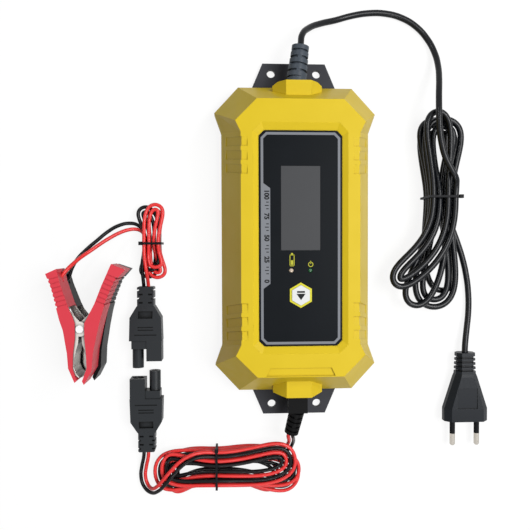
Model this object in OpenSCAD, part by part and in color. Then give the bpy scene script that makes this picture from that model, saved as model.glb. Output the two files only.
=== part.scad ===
// Car battery charger: wall-hung case, mains lead with plug, and a battery
// lead that ends in a pair of spring clamps. Origin at the middle of the
// case's flat back face, +Y towards the mains lead, +Z out of the wall.

/* [Case] */
// Length of the moulded front shell between its end walls
case_l = 219; // [205:1:235]
// Width of the shell across its four shoulders
case_w = 117; // [112:1:124]
// Width of the shell along its straight waist
waist_w = 107; // [104:1:111]
// Width of the straight part of each end wall
end_w = 82.6; // [78:0.2:90]
// Height of the case from the wall to the front face
case_h = 50; // [48:1:58]
// Height of the upright skirt below the sloping walls
skirt_h = 14; // [11:1:16]
// Slope of the end walls, measured inwards
end_taper = 16.4; // [12:0.2:17]
// Slope of the side walls, measured inwards
side_taper = 13.4; // [10:0.2:14]
// Distance from the end wall to the shoulder
shoulder_in = 18.6; // [16:0.2:21]
// Distance from the end wall to the start of the waist
waist_in = 32.6; // [30:0.2:36]
// Wall thickness of the shell
wall = 2.6; // [2:0.1:3]
// Thickness of the back cover and its wall flanges
plate_t = 4; // [3:0.2:5]
// Reveal between the back cover's edge and the shell's edge
reveal = 1.2; // [0.6:0.1:2]

/* [Wall flanges] */
// Length over both wall flanges
flange_l = 260.2; // [250:0.2:275]
// Width of a flange where it leaves the case
flange_root_w = 64; // [56:1:74]
// Width of a flange at its outer edge
flange_tip_w = 46.4; // [44:0.2:56]
// Spacing of the wall holes across the case
hole_dx = 33.8; // [31:0.2:36]
// Spacing of the wall holes along the case
hole_dy = 245.2; // [243:0.2:248]
// Diameter of the wall holes
hole_d = 6; // [4:0.1:7]

/* [Front panel] */
// Width of the black panel
panel_w = 56; // [50:1:60]
// Length of the black panel
panel_l = 144.6; // [140:0.2:150]
// Cut corner of the black panel
panel_cut = 3.6; // [2:0.2:5]
// Thickness of the black panel
panel_t = 2; // [1.6:0.1:2.4]
// Depth of the panel's face below the front face
pocket_depth = 1.5; // [1:0.1:2.5]
// Width of the grey border line
border_w = 1.7; // [1:0.1:2.2]
// Inset of the border line from the panel's edge
border_in = 1.2; // [0.8:0.1:2]
// Width of the grey scale band
scale_w = 4.6; // [3:0.2:5.4]
// Length of the grey scale band
scale_l = 64; // [56:1:72]
// Height of the scale band's middle above the case's middle
scale_y = 1.8; // [0:0.2:4]
// Width of the display window
lcd_w = 26.4; // [22:0.2:28]
// Length of the display window
lcd_l = 56.4; // [50:0.2:60]
// Height of the display's middle above the case's middle
lcd_y = 20.5; // [16:0.5:23]

/* [Button and lights] */
// Distance of the button below the case's middle
button_y = 38; // [37:0.5:46]
// Width across the flats of the button's ring
ring_af = 14.8; // [13:0.2:16]
// Width of the ring's rim
ring_rim = 1.3; // [1:0.1:1.6]
// Gap round the button cap
cap_gap = 0.15; // [0.1:0.05:0.25]
// Height of the cap above the panel at rest
cap_proud = 1.1; // [0.9:0.1:1.5]
// Travel of the button
press = 0.8; // [0.4:0.1:0.8]
// Diameter of the status lights
light_d = 3; // [2:0.1:3.4]
// Spacing of the two status lights
light_dx = 12.8; // [10:0.2:16]
// Distance of the lights below the case's middle
light_y = 21.3; // [18:0.1:24]

/* [Mains lead] */
// Diameter of the mains lead
mains_d = 4.6; // [4:0.1:4.8]
// Diameter of the mains strain relief at the case
relief_d = 14; // [12:0.2:15]
// Spacing of the plug's pins at their roots
pin_dx = 18.6; // [18:0.1:19]
// Diameter of the plug's pins
pin_d = 4; // [3.8:0.1:4]
// Length of the plug's pins
pin_l = 19; // [18:0.5:20]
// Width of the plug at its pin face
plug_w = 33; // [31.4:0.2:34.6]
// Thickness of the plug
plug_t = 13.7; // [12:0.1:14]

/* [Battery lead] */
// Diameter of each single battery wire
wire_d = 2.7; // [2.2:0.1:2.8]
// Spacing of the two prongs of a lead connector
prong_dx = 12.2; // [11.8:0.1:12.6]
// Diameter of the round prong of a lead connector
tube_d = 8.2; // [7:0.1:8.4]
// Length of the round prong from the body's shoulder
tube_l = 20; // [17:0.5:21]
// Length of the hollow prong from the body's shoulder
shroud_l = 14.7; // [12:0.1:15]
// Outer width of the hollow prong
shroud_w = 11; // [10.4:0.1:11.4]
// Radial gap between the round prong and the hollow one
prong_gap = 0.2; // [0.1:0.05:0.3]
// Thickness of a lead connector
connector_t = 12; // [11.4:0.2:13]
// Clear distance the connectors close over
mate_travel = 21.5; // [15:0.1:21.5]

/* [Battery clamps] */
// Height of a clamp, measured along its rivet
clamp_h = 20.4; // [18:0.2:21]
// Thickness of the steel jaws and ears
steel_t = 1; // [0.8:0.1:1.2]
// Diameter of the rivet's shank
rivet_d = 4; // [3:0.1:4.4]
// Diameter of the rivet's heads
rivet_head_d = 5.8; // [5:0.1:6]
// Running gap between shank and ears
rivet_gap = 0.05; // [0.02:0.01:0.08]
// Diameter of the spring's wire
spring_wire_d = 1.5; // [1.2:0.1:1.6]
// Spring's coils
spring_coils = 4; // [3:1:5]
// Clearance between the stacked clamps
stack_gap = 0.4; // [0.3:0.1:1]

/* [Hidden] */
$fn = 48;
fit = 0.15;      // clearance all round a moulded fit
seat = 0.02;     // face clearance where one piece rests on another
eps = 0.01;
yellow = "#DDBE2A";
dark = "#4A4A50";
black = "#1F2226";
grey = "#8E9096";
rubber = "#5E656E";
steel = "#C9CACC";
green = "#2F6B3C";
red = "#E5484F";

// ---- outlines -------------------------------------------------------------

function mirrored(q) = concat(q, [for (i = [len(q) - 1 : -1 : 0]) [-q[i].x, q[i].y]]);
// Twelve corners, anticlockwise from the lower right
function shell_ring(half_l, end_half, shoulder_half, shoulder_y, waist_half, waist_y) =
  mirrored([[end_half, -half_l], [shoulder_half, -shoulder_y], [waist_half, -waist_y],
    [waist_half, waist_y], [shoulder_half, shoulder_y], [end_half, half_l]]);
foot_ring = shell_ring(case_l / 2, end_w / 2, case_w / 2, case_l / 2 - shoulder_in,
  waist_w / 2, case_l / 2 - waist_in);
face_ring = shell_ring(case_l / 2 - end_taper, end_w / 2 - 0.9 * side_taper,
  case_w / 2 - 1.1 * side_taper, case_l / 2 - shoulder_in - 0.76 * end_taper,
  waist_w / 2 - side_taper, case_l / 2 - waist_in - 0.36 * end_taper);
function lerp(a, b, t) = a * (1 - t) + b * t;
function ring_at(z) = let (t = max(0, (z - skirt_h) / (case_h - skirt_h)))
  [for (i = [0 : 11]) lerp(foot_ring[i], face_ring[i], t)];
function unit(v) = v / norm(v);
function edge_normal(a, b) = let (d = unit(b - a)) [d.y, -d.x];
function inset(q, by) = let (n = len(q))
  [for (i = [0 : n - 1])
    let (a = edge_normal(q[(i + n - 1) % n], q[i]), b = edge_normal(q[i], q[(i + 1) % n]))
    q[i] - by * (a + b) / (1 + a * b)];
function cut_rect(w, l, c) = [[w / 2 - c, -l / 2], [w / 2, -l / 2 + c], [w / 2, l / 2 - c],
  [w / 2 - c, l / 2], [-w / 2 + c, l / 2], [-w / 2, l / 2 - c], [-w / 2, -l / 2 + c],
  [-w / 2 + c, -l / 2]];
// Distance of the end wall and the side wall from the middle at a height
function end_at(z) = case_l / 2 - end_taper * max(0, (z - skirt_h) / (case_h - skirt_h));
function side_at(z) = waist_w / 2 - side_taper * max(0, (z - skirt_h) / (case_h - skirt_h));

// Solid through outlines with as many corners, one above the other; each cap is
// made of strips across, because an outline may be drawn in at its waist
module loft(rings, heights) {
  n = len(rings[0]);
  m = len(rings);
  points = [for (j = [0 : m - 1]) each [for (q = rings[j]) [q.x, q.y, heights[j]]]];
  sides = [for (j = [0 : m - 2], i = [0 : n - 1])
    let (a = j * n + i, b = j * n + (i + 1) % n) each [[a, b + n, b], [a, a + n, b + n]]];
  caps = [for (i = [0 : n / 2 - 2])
    let (q = [i, i + 1, n - 2 - i, n - 1 - i]) each [q, [for (k = [3 : -1 : 0]) (m - 1) * n + q[k]]]];
  polyhedron(points, concat(sides, caps), convexity = 6);
}
module hexagon(af) {
  rotate(30)
    circle(d = af / cos(30), $fn = 6);
}
module four(dx, dy) {
  for (x = [-dx / 2, dx / 2], y = [-dy / 2, dy / 2])
    translate([x, y, 0])
      children();
}

// ---- case -----------------------------------------------------------------

roof = 3;                                  // front wall thickness
panel_top = case_h - pocket_depth;
panel_seat = panel_top - panel_t;
seat_t = 3;                                // wall under the panel
pocket = cut_rect(panel_w + 2 * fit, panel_l + 2 * fit, panel_cut);
boss_half = 17.4;                          // cable boss, half width
boss_top = 0.76 * case_h;
cable_z = 0.5 * case_h;
screw_in = 27;                             // from the end wall
screw_wall = 10.83;                        // from the outline, square to it
flare = (case_w - waist_w) / 2 / (waist_in - shoulder_in);
screw_x = waist_w / 2 + flare * (waist_in - screw_in) - screw_wall * sqrt(1 + flare * flare);
screw_y = case_l / 2 - screw_in;
post_d = 7;
screw_d = 3;
rib_h = 5;                                 // back cover's locating rim
rim_t = 2;
groove_w = 6.2;
groove_pitch = 9.2;
groove_depth = 0.5;
groove_y = 55.5;                           // middle of each group of grip grooves
groove_lean = 8.7;                         // they run down the side away from the middle

// Its flat end stands this far out from the end wall's foot
module cable_boss(out, corner) {
  y1 = case_l / 2 + out;
  crown = [[-boss_half, end_at(case_h) - 8], [-boss_half, y1 - 1.8], [-boss_half + corner, y1],
    [boss_half - corner, y1], [boss_half, y1 - 1.8], [boss_half, end_at(case_h) - 8]];
  facet = [[-boss_half, plate_t + seat], [-boss_half, boss_top - 10], [-8.7, boss_top],
    [8.7, boss_top], [boss_half, boss_top - 10], [boss_half, plate_t + seat]];
  intersection() {
    linear_extrude(case_h) polygon(crown);
    translate([0, case_l, 0]) rotate([90, 0, 0]) linear_extrude(case_l) polygon(facet);
  }
}
module grip_groove() {
  z0 = 0.46 * case_h;
  profile = [[side_at(z0) + 3, z0], [side_at(z0) - groove_depth, z0],
    [side_at(case_h) - groove_depth, case_h - groove_depth],
    [side_at(case_h) - 4.5, case_h - groove_depth], [side_at(case_h) - 4.5, case_h + 1],
    [side_at(z0) + 3, case_h + 1]];
  translate([0, groove_w / 2, 0]) rotate([90, 0, 0]) linear_extrude(groove_w) polygon(profile);
}
module front_lip() {
  profile = [[-20.7, 0], [20.7, 0], [23.4, -5.6], [-23.4, -5.6]];
  translate([0, -case_l / 2 + 22.6, case_h - 1.2]) linear_extrude(2) polygon(profile);
}
// Bore for a cable, along Y through one end wall
module end_bore(side, d) {
  translate([0, side * (case_l / 2 + 20), cable_z]) rotate([side * 90, 0, 0])
    cylinder(d = d, h = 60);
}
module front_shell() {
  color(yellow)
  difference() {
    union() {
      difference() {
        union() {
          loft([foot_ring, foot_ring, face_ring], [plate_t + seat, skirt_h, case_h]);
          cable_boss(-0.6, 3.4);
          mirror([0, 1, 0]) cable_boss(0.7, 8.6);
        }
        loft([inset(foot_ring, wall), inset(foot_ring, wall), inset(ring_at(case_h - roof), wall)],
          [plate_t - 1, skirt_h, case_h - roof]);
      }
      translate([-panel_w / 2 - 3, -panel_l / 2 - 3, panel_seat - seat_t])
        cube([panel_w + 6, panel_l + 6, case_h - panel_seat + seat_t - roof + 1]);
      // screw posts run up into the sloping walls
      intersection() {
        four(2 * screw_x, 2 * screw_y) translate([0, 0, plate_t + 5])
          cylinder(d = post_d, h = case_h - roof - plate_t - 5);
        loft([foot_ring, foot_ring, face_ring], [plate_t + seat, skirt_h, case_h]);
      }
      four(display_post_dx, display_post_dy) translate([0, display_post_mid, display_top])
        cylinder(d = 6, h = panel_seat - display_top - seat_t + 1);
      for (side = [-1, 1])
        translate([0, side * (case_l / 2 - 6), cable_z]) rotate([side * 90, 0, 0])
          cylinder(d = relief_d + 8, h = 8);
    }
    loft([pocket, pocket, cut_rect(panel_w + 8, panel_l + 10.4, panel_cut + 2.2)],
      [panel_seat, panel_top - 0.5, case_h + eps]);
    translate([-lcd_w / 2 - 2.5, lcd_y - lcd_l / 2 - 2.5, panel_seat - 12])
      cube([lcd_w + 5, lcd_l + 5, 20]);
    translate([0, -button_y, panel_seat - 12]) cylinder(d = stem_d + 2 * fit, h = 20);
    for (x = [-light_dx / 2, light_dx / 2])
      translate([x, -light_y, panel_seat - 12]) cylinder(d = light_d + 2 * fit, h = 20);
    for (s = [-1, 1], g = [-1, 1], k = [-1 : 1])
      translate([0, g * groove_y + k * groove_pitch, case_h]) rotate([g * groove_lean, 0, 0])
        translate([0, 0, -case_h]) mirror([s < 0 ? 1 : 0, 0, 0]) grip_groove();
    front_lip();
    end_bore(1, relief_d);
    end_bore(-1, dc_relief_d);
    four(2 * screw_x, 2 * screw_y) translate([0, 0, plate_t + 4.9]) cylinder(d = screw_d - 0.4, h = 12);
    four(display_post_dx, display_post_dy) translate([0, display_post_mid, display_top - 0.1])
      cylinder(d = 2, h = 7);
  }
}
module back_cover() {
  tab = [[flange_root_w / 2, -case_l / 2], [flange_tip_w / 2, -flange_l / 2]];
  outer = inset(foot_ring, reveal);
  rim = inset(foot_ring, wall + fit);
  color(dark)
  difference() {
    union() {
      linear_extrude(plate_t) polygon(outer);
      for (m = [0, 1]) mirror([0, m, 0]) linear_extrude(plate_t)
        polygon([[flange_root_w / 2, -case_l / 2 + 10], tab[0], tab[1],
          [-tab[1].x, tab[1].y], [-tab[0].x, tab[0].y], [-flange_root_w / 2, -case_l / 2 + 10]]);
      linear_extrude(plate_t + rib_h) difference() {
        polygon(rim);
        polygon(inset(rim, rim_t));
      }
      four(2 * screw_x, 2 * screw_y) cylinder(d = post_d + 2, h = plate_t + 5 - seat);
      four(board_post_dx, board_post_dy) cylinder(d = 7, h = board_z - seat);
    }
    four(hole_dx, hole_dy) translate([0, 0, -1]) cylinder(d = hole_d, h = plate_t + 2);
    four(2 * screw_x, 2 * screw_y) {
      translate([0, 0, -1]) cylinder(d = screw_d + 0.4, h = plate_t + 10);
      translate([0, 0, -1]) cylinder(d = 6.4, h = 4.4);
    }
    four(board_post_dx, board_post_dy) translate([0, 0, board_z - 6]) cylinder(d = 2.2, h = 8);
  }
}
module seal_gasket() {
  outer = inset(foot_ring, wall + fit + rim_t + 0.1);
  color(black)
  translate([0, 0, plate_t + seat]) linear_extrude(2) difference() {
    polygon(outer);
    polygon(inset(outer, 1.8));
    four(2 * screw_x, 2 * screw_y) circle(d = post_d + 2.4);
  }
}
module case_screws() {
  color(steel)
  four(2 * screw_x, 2 * screw_y) {
    translate([0, 0, 1.4]) cylinder(d = 5.6, h = 2 - seat);
    translate([0, 0, 3]) cylinder(d = screw_d - 0.4, h = 14);
  }
}

// ---- front panel, button and lights ---------------------------------------

stem_d = 7;
cap_af = ring_af - 2 * ring_rim - 2 * cap_gap;
display_t = 1.6;
display_w = panel_w - 4;
display_l = panel_l - 20.6;
display_mid = 4;
display_top = 38 + (case_h - 50);
display_post_dx = display_w - 8;
display_post_dy = display_l - 12;
display_post_mid = display_mid;
plunger_top = display_top + 5;

module display_panel() {
  color(black)
  translate([0, 0, panel_seat + seat]) difference() {
    linear_extrude(panel_t - seat) polygon(cut_rect(panel_w, panel_l, panel_cut));
    translate([-lcd_w / 2 - fit, lcd_y - lcd_l / 2 - fit, -1])
      cube([lcd_w + 2 * fit, lcd_l + 2 * fit, panel_t + 2]);
    translate([0, -button_y, -1]) linear_extrude(panel_t + 2) hexagon(ring_af + 2 * fit);
    for (x = [-light_dx / 2, light_dx / 2])
      translate([x, -light_y, -1]) cylinder(d = light_d + 2 * fit, h = panel_t + 2);
    translate([0, 0, panel_t - seat - 0.4]) linear_extrude(1) border_shape(0.05);
  }
}
module border_shape(grow) {
  outer = cut_rect(panel_w - 2 * border_in, panel_l - 2 * border_in, panel_cut);
  band_x = -panel_w / 2 + border_in;
  difference() {
    polygon(inset(outer, -grow));
    difference() {
      polygon(inset(outer, border_w + grow));
      polygon([[band_x, scale_y - scale_l / 2 - scale_w - grow],
        [band_x + border_w + scale_w + grow, scale_y - scale_l / 2 - grow],
        [band_x + border_w + scale_w + grow, scale_y + scale_l / 2 + grow],
        [band_x, scale_y + scale_l / 2 + scale_w + grow]]);
    }
  }
}
module panel_border() {
  color(grey)
  translate([0, 0, panel_top - 0.4 + seat]) linear_extrude(0.4) border_shape(0);
}
module lcd_window() {
  color("#555658")
  translate([-lcd_w / 2, lcd_y - lcd_l / 2, panel_seat + seat])
    cube([lcd_w, lcd_l, panel_t - 0.2]);
}
module lcd_module() {
  color("#9AA38C")
  translate([-lcd_w / 2 - 2, lcd_y - lcd_l / 2 - 2, display_top + seat])
    cube([lcd_w + 4, lcd_l + 4, panel_seat - display_top - 2 * seat]);
}
module display_board() {
  color(green)
  difference() {
    translate([-display_w / 2, display_mid - display_l / 2, display_top - display_t])
      cube([display_w, display_l, display_t - seat]);
    four(display_post_dx, display_post_dy) translate([0, display_post_mid, display_top - 5])
      cylinder(d = 2.4, h = 8);
  }
}
module display_screws() {
  color(steel)
  four(display_post_dx, display_post_dy) translate([0, display_post_mid, 0]) {
    translate([0, 0, display_top - display_t - 1.6]) cylinder(d = 4.4, h = 1.6 - seat);
    translate([0, 0, display_top - display_t - 0.2]) cylinder(d = 2, h = 7);
  }
}
module button_ring() {
  color(yellow)
  translate([0, -button_y, panel_seat + seat]) difference() {
    linear_extrude(panel_t + 0.4) difference() {
      hexagon(ring_af);
      hexagon(ring_af - 2 * ring_rim);
    }
  }
}
module mode_button() {
  color("white")
  translate([0, -button_y, 0]) {
    translate([0, 0, plunger_top + seat])
      cylinder(d = stem_d, h = panel_seat + press + 0.3 - plunger_top - seat + 0.1);
    difference() {
      translate([0, 0, panel_seat + press + 0.3]) linear_extrude(panel_t + cap_proud - press - 0.3)
        hexagon(cap_af);
      translate([0, 0, panel_top + cap_proud - 0.3]) linear_extrude(1) mark_shape(0.05);
    }
  }
}
module mark_shape(grow) {
  offset(delta = grow) {
    translate([-2.6, 1.7]) square([5.2, 1.1]);
    polygon([[-3, 1], [3, 1], [0, -3.2]]);
  }
}
module button_mark() {
  color(black)
  translate([0, -button_y, panel_top + cap_proud - 0.3 + seat]) linear_extrude(0.3) mark_shape(0);
}
module switch_plunger() {
  color("#333333")
  translate([0, -button_y, display_top + 2.4]) cylinder(d = 3.4, h = plunger_top - display_top - 2.4);
}
module tact_switch() {
  color("#555555")
  translate([0, -button_y, display_top + seat]) difference() {
    translate([-3, -3, 0]) cube([6, 6, 3.5]);
    translate([0, 0, 2.3 - press]) cylinder(d = 3.4 + 2 * 0.1, h = 4);
  }
}
module light(x, tint) {
  color(tint)
  translate([x, -light_y, display_top + seat]) {
    cylinder(d = light_d + 0.8, h = 1);
    cylinder(d = light_d, h = panel_top - display_top - 0.6);
    translate([0, 0, panel_top - display_top - 0.6]) sphere(d = light_d, $fn = 24);
  }
}
module status_light() { light(-light_dx / 2, "#E9D9D6"); }
module power_light() { light(light_dx / 2, "#39C46B"); }

// ---- electronics ----------------------------------------------------------

board_z = plate_t + 6;
board_t = 1.6;
board_w = waist_w - 23;
board_l = case_l - 63;
board_post_dx = board_w - 10;
board_post_dy = board_l - 12;
board_top = board_z + board_t;
part_h = display_top - display_t - board_top - 2.8;   // height free for the tallest parts

module main_board() {
  color(green)
  difference() {
    translate([-board_w / 2, -board_l / 2, board_z]) cube([board_w, board_l, board_t]);
    four(board_post_dx, board_post_dy) translate([0, 0, board_z - 1]) cylinder(d = 2.6, h = board_t + 2);
  }
}
module board_screws() {
  color(steel)
  four(board_post_dx, board_post_dy) {
    translate([0, 0, board_top + seat]) cylinder(d = 5, h = 1.8);
    translate([0, 0, board_top - 7]) cylinder(d = 2.2, h = 7.4);
  }
}
module transformer_core() {
  color("#3A3C40")
  translate([-6, 12, board_top + seat]) difference() {
    translate([-17, -12, 3]) cube([34, 24, part_h - 7]);
    for (x = [-12.5, 4.5]) translate([x, -13, 6]) cube([8, 26, part_h - 13]);
  }
}
module transformer_winding() {
  color("#C9A227")
  translate([-6, 12, board_top + seat]) {
    for (y = [-1, 1]) translate([-10, y > 0 ? 12.2 : -17.2, 0]) cube([20, 5, 6]);
    difference() {
      translate([-12.2, -17, 6.2]) cube([24.4, 34, part_h - 13.4]);
      translate([-4.6, -12.2, 0]) cube([9.2, 24.4, part_h]);
    }
  }
}
module input_capacitor() {
  color("#24406B")
  translate([24, 48, board_top + seat]) cylinder(d = 18, h = part_h - 2);
}
module output_capacitors() {
  color("#2B2F36")
  for (x = [-24, -10]) translate([x, -42, board_top + seat]) cylinder(d = 10, h = part_h - 4);
}
module choke() {
  color("#8A5A2B")
  translate([-22, 52, board_top + seat]) difference() {
    cylinder(d = 24, h = part_h / 2);
    translate([0, 0, -1]) cylinder(d = 10, h = part_h);
  }
}
module heatsink() {
  color("#A9ABAE")
  translate([20, -58, board_top + seat]) {
    cube([3, 70, part_h]);
    for (k = [0 : 6]) translate([3 - eps, 2 + k * 11, 0]) cube([9, 2, part_h]);
  }
}
module power_devices() {
  color("#202124")
  for (y = [-44, -24, -4]) translate([20 - 4.6 - seat, y - 5, board_top + seat]) cube([4.6, 10, part_h - 6]);
}
module ribbon_cable() {
  rise = display_top - display_t - board_top - 6 - 2 * seat;
  color("#B9BCC0")
  translate([-33, -34, board_top + seat]) {
    translate([-2, 0, 0]) cube([5, 16, 3]);
    translate([0, 1, 3]) cube([1, 14, rise]);
    translate([0, 0, 3 + rise]) cube([9.6, 16, 3]);
  }
}

// ---- strain reliefs --------------------------------------------------------

dc_relief_d = 11;
mains_relief_l = 22.6;
relief_out = 3;                            // how far a relief's tail starts from the end wall
mains_lean = 7;
dc_lean = 12;

// Collar through the wall, flange inside it, then a ribbed tail
module mains_strain_relief() {
  face = case_l / 2 + relief_out;
  step = (mains_relief_l - 3.6) / 4;
  color(rubber)
  difference() {
    union() {
      translate([0, face + 1, cable_z]) rotate([90, 0, 0]) cylinder(d = relief_d - 0.1, h = 10);
      translate([0, case_l / 2 - 14.1, cable_z]) rotate([90, 0, 0]) cylinder(d = relief_d + 4, h = 3);
      translate([0, case_l / 2 - 4, cable_z]) rotate([90, 0, 0]) cylinder(d = relief_d - 0.1, h = 12);
      translate([0, face + 1, cable_z]) rotate([-90, 0, -mains_lean]) {
        cylinder(d1 = relief_d - 3.6, d2 = mains_d + 4.4, h = mains_relief_l);
        for (k = [0 : 4])
          translate([0, 0, 0.4 + k * step]) cylinder(d = relief_d - 0.45 * k, h = 3.1);
        for (k = [0 : 3], a = [0, 180])
          rotate(a + 90 * (k % 2)) translate([-1.4, 0, 0.6 + k * step])
            cube([2.8, relief_d / 2 - 0.5 - 0.22 * k, step]);
      }
    }
    translate([0, face - 40, cable_z]) rotate([-90, 0, 0]) cylinder(d = mains_d, h = 41.1);
    translate([0, face + 1, cable_z]) rotate([-90, 0, -mains_lean]) cylinder(d = mains_d, h = 40);
  }
}
module dc_strain_relief() {
  face = case_l / 2 + relief_out;
  color(black)
  difference() {
    union() {
      translate([0, -face + 6, cable_z]) rotate([90, 0, 0]) cylinder(d = dc_relief_d - 0.1, h = 12);
      translate([0, -case_l / 2 + 17.1, cable_z]) rotate([90, 0, 0]) cylinder(d = dc_relief_d + 6, h = 3);
      translate([0, -case_l / 2 + 16, cable_z]) rotate([90, 0, 0]) cylinder(d = dc_relief_d - 0.1, h = 18);
      translate([-6.8, -face - 10.5, cable_z - 6]) cube([13.6, 12.7, 12]);
      translate([0, -face - 9, cable_z]) rotate([90 + 14, 0, -dc_lean]) {
        cylinder(d1 = 8.8, d2 = 8, h = 19.4);
        for (k = [0 : 4]) translate([0, 0, 1.5 + k * 3.7]) cylinder(d = 11 - 0.2 * k, h = 2.4);
        for (k = [0 : 3], a = [0, 180])
          rotate(a + 90 * (k % 2)) translate([-1.2, 0, 1.5 + k * 3.7]) cube([2.4, 4.9, 3.7]);
      }
    }
    translate([0, -face - 9, cable_z]) rotate([90 + 14, 0, -dc_lean])
      for (s = [-1, 1]) translate([s * wire_pitch / 2, 0, 12.4]) cylinder(d = wire_d, h = 12);
  }
}

// ---- cords ----------------------------------------------------------------

// Tube swept along points with a level side vector; ends are square
function tangent(q, i) = unit(q[min(i + 1, len(q) - 1)] - q[max(i - 1, 0)]);
function side_of(t) = unit(cross(t, [0, 0, 1]));
function moved(q, by) = [for (i = [0 : len(q) - 1]) q[i] + by * side_of(tangent(q, i))];
module tube(q, d, n) {
  m = len(q);
  points = [for (i = [0 : m - 1])
    let (t = tangent(q, i), s = side_of(t), v = cross(t, s))
    for (k = [0 : n - 1]) q[i] + d / 2 * (cos(360 * k / n) * s + sin(360 * k / n) * v)];
  walls = [for (i = [0 : m - 2], k = [0 : n - 1])
    let (a = i * n + k, b = i * n + (k + 1) % n) each [[a, b + n, b], [a, a + n, b + n]]];
  polyhedron(points, concat(walls, [[for (k = [0 : n - 1]) k]],
    [[for (k = [n - 1 : -1 : 0]) (m - 1) * n + k]]), convexity = 10);
}

// A hank: loops wound clockwise round a long shape that is drawn in at the
// waist. It starts at the waist in the top layer and heads for the low end,
// spirals in and out, and ends at the same side of the waist in the bottom
// layer. Each low and high end has an angle, a length and a fullness.
climb = 0.16;
tie_t = 1.1;
tie_w = 1.6;
function smooth(t) = let (c = min(1, max(0, t))) c * c * (3 - 2 * c);
function sum(q, i = 0) = i < len(q) ? q[i] + sum(q, i + 1) : 0;
function layer_of(u, loops, layers) = layers < 2 ? 0 :
  sum([for (k = [1 : layers - 1]) smooth((u - k * loops / layers) / climb + 0.5)]);
function spiral(u, run) = let (m = u % (2 * run)) m <= run ? m : 2 * run - m;
function loop_end(u, loops, layers, low, high) = let (is_low = u % 1 < 0.5,
    i = round(layer_of(floor(u) + (is_low ? 0.25 : 0.75), loops, layers)))
  is_low ? low[i] : high[i];
function loop_base(u, w, e) = let (s = sin(360 * u), x = cos(360 * u) * (w + e[2] * s * s),
    y = -e[1] * s, f = e[0] * smooth(abs(s)))
  [x * cos(f) - y * sin(f), x * sin(f) + y * cos(f)];
function hank_point(u0, loops, layers, pitch, w, rise, d, low, high, shift, lift) =
  let (u = min(u0, loops - 0.000001), e = loop_end(u, loops, layers, low, high), h = 0.002,
    t = unit(loop_base(u + h, w, e) - loop_base(u - h, w, e)),
    in = (spiral(u, loops / layers) + shift) * pitch,
    q = loop_base(u, w, e) + in * [t.y, -t.x])
  [q.x, q.y, d / 2 + lift + (layers - 1 - layer_of(u, loops, layers)) * rise
    + (tie_t + 0.2) * (1 - smooth(2.5 * abs(sin(360 * u))))];
rings = 24;
function hank_path(loops, layers, pitch, w, rise, d, low, high, shift = 0, lift = 0, n = rings) =
  let (q = [for (i = [0 : loops * n])
    hank_point(i / n, loops, layers, pitch, w, rise, d, low, high, shift, lift)])
  concat([q[0] + [0, d, 0]], q, [q[len(q) - 1] - [0, d, 0]]);
// Least distance between points of a path that are a third of a loop apart
function least_gap(q, n, d) = min([for (i = [0 : len(q) - 1])
  for (j = [i + round(n / 3) : 1 : len(q) - 1]) norm(q[i] - q[j])]) - d;

// Mains hank: upright, below the lead's loop at the upper right
mains_loops = 6;
mains_layers = 4;
mains_pitch = mains_d + 0.9;
mains_rise = mains_d + 0.55;
mains_w = 1.75 * mains_pitch;
mains_at = [107.4, 31, 0];
mains_low = [[-27, 74, 14], [-13, 86, 23], [-2, 83, 27], [6, 74, 22]];
mains_high = [[3, 66, 17], [-3, 59, 22], [2, 62, 24], [-2, 57, 22]];
mains_loops_path = [for (q = hank_path(mains_loops, mains_layers, mains_pitch, mains_w, mains_rise,
  mains_d, mains_low, mains_high)) q + mains_at];

// Battery lead hank: lies across, below the case; red outside, black inside
wire_pitch = wire_d + 0.6;
wire_rise = wire_d + 0.5;
dc_pitch = 2 * wire_pitch;
dc_w = 2.1 * dc_pitch;
dc_at = [-58, -169.6, 0];
dc_low = [[7, 60, 17], [-1, 66, 20], [-7, 63, 19], [-13, 52, 18]];
dc_high = [[-6, 45, 17], [3, 47, 17], [9, 46, 18], [12, 41, 18]];
function dc_place(q) = [for (p = q) [dc_at.x - p.y, p.x + dc_at.y, p.z]];
function dc_hank(shift, n = rings) = dc_place(hank_path(6, 4, dc_pitch, dc_w, wire_rise, wire_d,
  dc_low, dc_high, shift, n = n));

// Clamp lead hank: two wires, one above the other, that lean apart
lead_pitch = 1.06 * wire_pitch;
lead_w = 1.8 * wire_pitch;
lead_at = [-103.6, -2.5, 0];
lead_x = lead_at.x - lead_w;
lead_red = [[[-6, 29, 8], [-3, 27, 8]], [[8, 20, 8], [9, 26, 8]]];
lead_black = [[[13, 28, 8], [9, 26, 8]], [[-9, 22, 8], [-12, 26, 8]]];
function lead_place(q) = [for (p = q) [lead_at.x - p.x, lead_at.y - p.y, p.z]];
function lead_hank(ends, lift, n = rings) = lead_place(hank_path(3, 2, lead_pitch, lead_w,
  2 * wire_rise, wire_d, ends[0], ends[1], 0, lift, n = n));

module mains_hank() { color(black) tube(mains_loops_path, mains_d, 6); }
module dc_hank_red() { color(red) tube(dc_hank(0), wire_d, 6); }
module dc_hank_black() { color(black) tube(dc_hank(0.5), wire_d, 6); }
module lead_hank_red() { color(red) tube(lead_hank(lead_red, wire_rise), wire_d, 6); }
module lead_hank_black() { color(black) tube(lead_hank(lead_black, 0), wire_d, 6); }

echo(mains_gap = least_gap(hank_path(mains_loops, mains_layers, mains_pitch, mains_w, mains_rise,
  mains_d, mains_low, mains_high, n = 48), 48, mains_d));
echo(battery_gap = least_gap(dc_hank(0, 48), 48, wire_d), least_gap(dc_hank(0.5, 48), 48, wire_d));
echo(clamp_gap = least_gap(lead_hank(lead_red, wire_rise, 48), 48, wire_d),
  least_gap(lead_hank(lead_black, 0, 48), 48, wire_d));

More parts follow.
